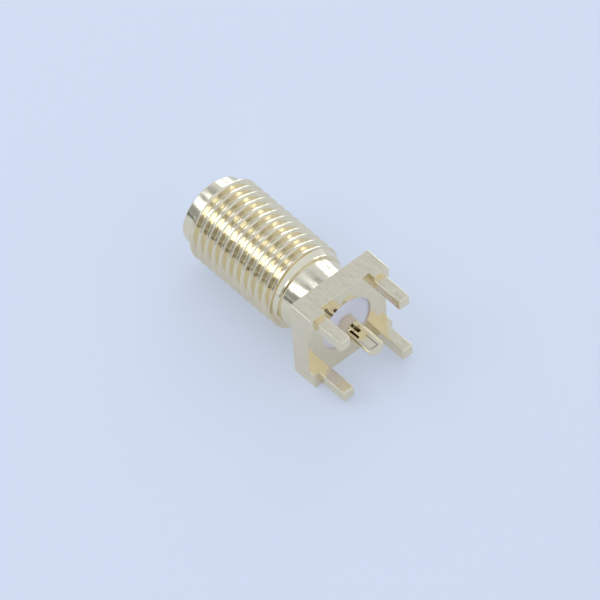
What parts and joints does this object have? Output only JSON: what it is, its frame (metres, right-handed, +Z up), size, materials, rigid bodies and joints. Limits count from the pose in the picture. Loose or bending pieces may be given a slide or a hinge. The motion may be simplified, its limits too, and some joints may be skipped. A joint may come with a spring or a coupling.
{
  "type": "coaxial board connector",
  "caption": "Threaded coaxial jack for a circuit board: gold-toned metal body with a square flange and solder legs, white insulator and centre contact.",
  "frame": {"origin": "on the barrel's axis, in the plane where the four feet sit on the board", "axes": "+X along the barrel's axis towards the mating end; +Z up, across the flat of the contact's tail; one flat of the flange faces -Z"},
  "size_m": [0.0163, 0.0068, 0.0068],
  "materials": {
    "plated_brass": "polished thin gold plating",
    "white_plastic": "smooth fluoropolymer",
    "gold_contact": "gold plated"
  },
  "bodies": {
    "root": {"body": "plated_brass", "insulator": "white_plastic", "contact": "gold_contact"}
  },
  "joints": []
}
